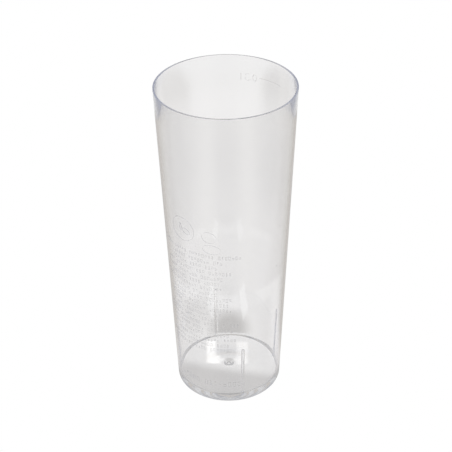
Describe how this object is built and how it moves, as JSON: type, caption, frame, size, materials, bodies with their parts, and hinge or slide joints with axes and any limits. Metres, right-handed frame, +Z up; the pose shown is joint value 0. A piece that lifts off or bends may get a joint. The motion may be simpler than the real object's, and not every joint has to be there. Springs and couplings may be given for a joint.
{
  "type": "clear plastic tumbler",
  "caption": "Tall tapered one-piece clear plastic tumbler with a thin rounded lip, internal stacking ribs, a raised fill line near the rim and a domed floor.",
  "frame": {"origin": "middle of the foot ring, on the surface that the cup stands on", "axes": "+Z up along the cup's axis towards the open rim; the fill line is on the +X +Y side, and the ribs stand at 15, 105, 195 and 285 degrees from +X"},
  "size_m": [0.0612, 0.0612, 0.1522],
  "materials": {
    "clear_plastic": "clear injection-moulded polystyrene, glossy, with light handling marks"
  },
  "bodies": {
    "root": {"tumbler": "clear_plastic"}
  },
  "joints": []
}
